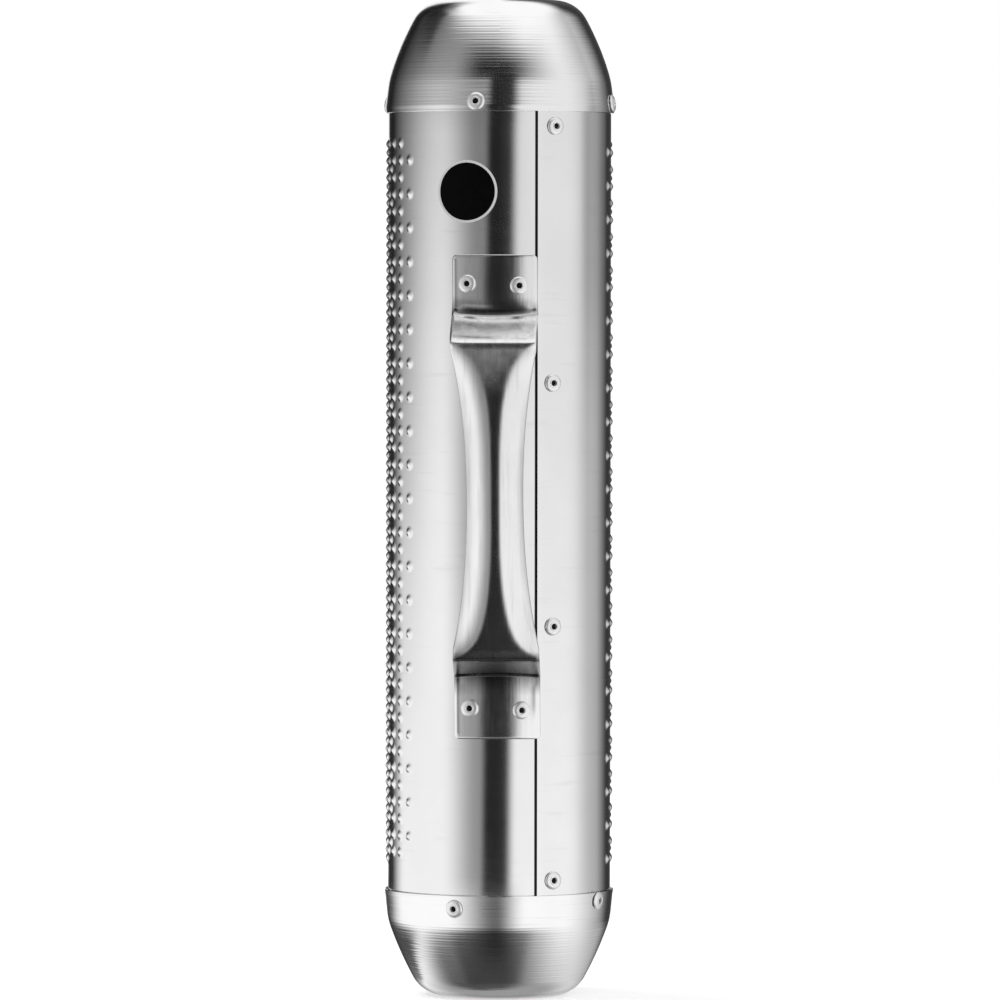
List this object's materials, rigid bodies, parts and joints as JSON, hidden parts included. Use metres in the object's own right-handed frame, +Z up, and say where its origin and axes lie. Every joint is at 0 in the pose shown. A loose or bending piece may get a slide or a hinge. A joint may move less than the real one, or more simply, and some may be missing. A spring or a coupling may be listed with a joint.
{
  "type": "guira",
  "caption": "Hand-held metal scraper instrument: an embossed, lap-seamed steel drum closed by riveted spun end caps, with an arched strap handle on its plain side.",
  "frame": {"origin": "centre of the lower cap's flat end face, on the drum's axis", "axes": "+Z up the drum's axis; the handle faces -Y, towards the viewer; +X is the viewer's right"},
  "size_m": [0.1, 0.123, 0.43],
  "materials": {
    "tube_steel": "rolled bright sheet with fine scratches round the drum",
    "cap_steel": "spun, with fine rings round the axis",
    "handle_steel": "pressed satin strap",
    "rivet_metal": "bright, domed",
    "mandrel_steel": "dull, snapped end",
    "label_film": "satin film, plain"
  },
  "bodies": {
    "root": {"tube_sheet": "tube_steel", "upper_end_cap": "cap_steel", "lower_end_cap": "cap_steel", "handle": "handle_steel", "round_label": "label_film", "upper_cap_rivet_1": "rivet_metal", "upper_cap_rivet_1_mandrel": "mandrel_steel", "upper_cap_rivet_2": "rivet_metal", "upper_cap_rivet_2_mandrel": "mandrel_steel", "upper_cap_rivet_3": "rivet_metal", "upper_cap_rivet_3_mandrel": "mandrel_steel", "upper_cap_rivet_4": "rivet_metal", "upper_cap_rivet_4_mandrel": "mandrel_steel", "lower_cap_rivet_1": "rivet_metal", "lower_cap_rivet_1_mandrel": "mandrel_steel", "lower_cap_rivet_2": "rivet_metal", "lower_cap_rivet_2_mandrel": "mandrel_steel", "lower_cap_rivet_3": "rivet_metal", "lower_cap_rivet_3_mandrel": "mandrel_steel", "lower_cap_rivet_4": "rivet_metal", "lower_cap_rivet_4_mandrel": "mandrel_steel", "seam_rivet_1": "rivet_metal", "seam_rivet_1_mandrel": "mandrel_steel", "seam_rivet_2": "rivet_metal", "seam_rivet_2_mandrel": "mandrel_steel", "seam_rivet_3": "rivet_metal", "seam_rivet_3_mandrel": "mandrel_steel", "seam_rivet_4": "rivet_metal", "seam_rivet_4_mandrel": "mandrel_steel", "handle_rivet_1": "rivet_metal", "handle_rivet_1_mandrel": "mandrel_steel", "handle_rivet_2": "rivet_metal", "handle_rivet_2_mandrel": "mandrel_steel", "handle_rivet_3": "rivet_metal", "handle_rivet_3_mandrel": "mandrel_steel", "handle_rivet_4": "rivet_metal", "handle_rivet_4_mandrel": "mandrel_steel"}
  },
  "joints": []
}
